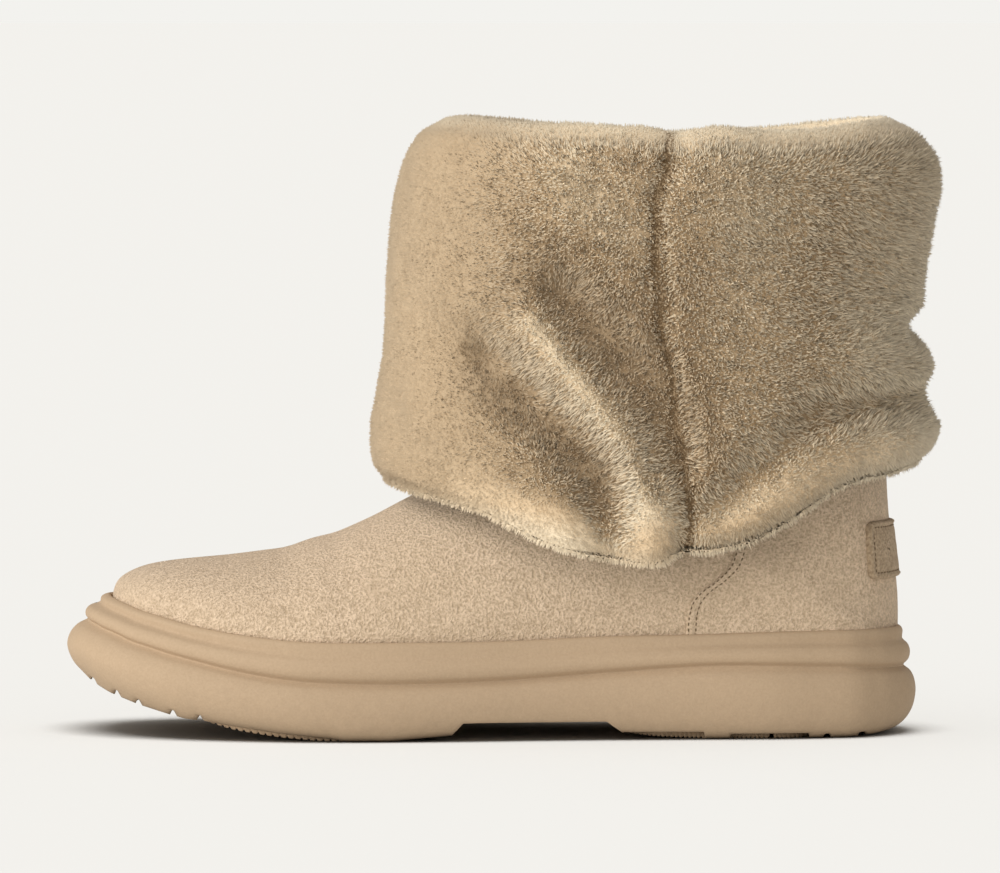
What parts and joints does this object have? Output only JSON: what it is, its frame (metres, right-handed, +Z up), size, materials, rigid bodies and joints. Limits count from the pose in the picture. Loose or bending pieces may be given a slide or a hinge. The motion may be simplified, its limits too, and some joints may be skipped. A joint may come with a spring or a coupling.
{
  "type": "sheepskin boot",
  "caption": "Left ankle boot in suede with sheepskin lining, a deep fold-over fur cuff, and a thick foam sole with ridged sides, an arch cut-out and rubber tread pads.",
  "frame": {"origin": "middle of the bounding box, on the floor that the sole stands on", "axes": "+X towards the toe, +Y towards the outer side of the foot, +Z up"},
  "size_m": [0.2944, 0.1298, 0.2065],
  "materials": {
    "suede": "brushed nap, no gloss",
    "sheepskin_fur": "sheared plush wool, pale tips over darker roots",
    "foam": "moulded foam, fine matt grain",
    "fleece": "short wool pile",
    "label_suede": "brushed nap with a stitched border",
    "pad_rubber": "matt moulded rubber"
  },
  "bodies": {
    "root": {"upper": "suede", "cuff": "sheepskin_fur", "midsole": "foam", "insole": "fleece", "heel_label": "label_suede", "forefoot_pad": "pad_rubber", "heel_pad": "pad_rubber"}
  },
  "joints": []
}
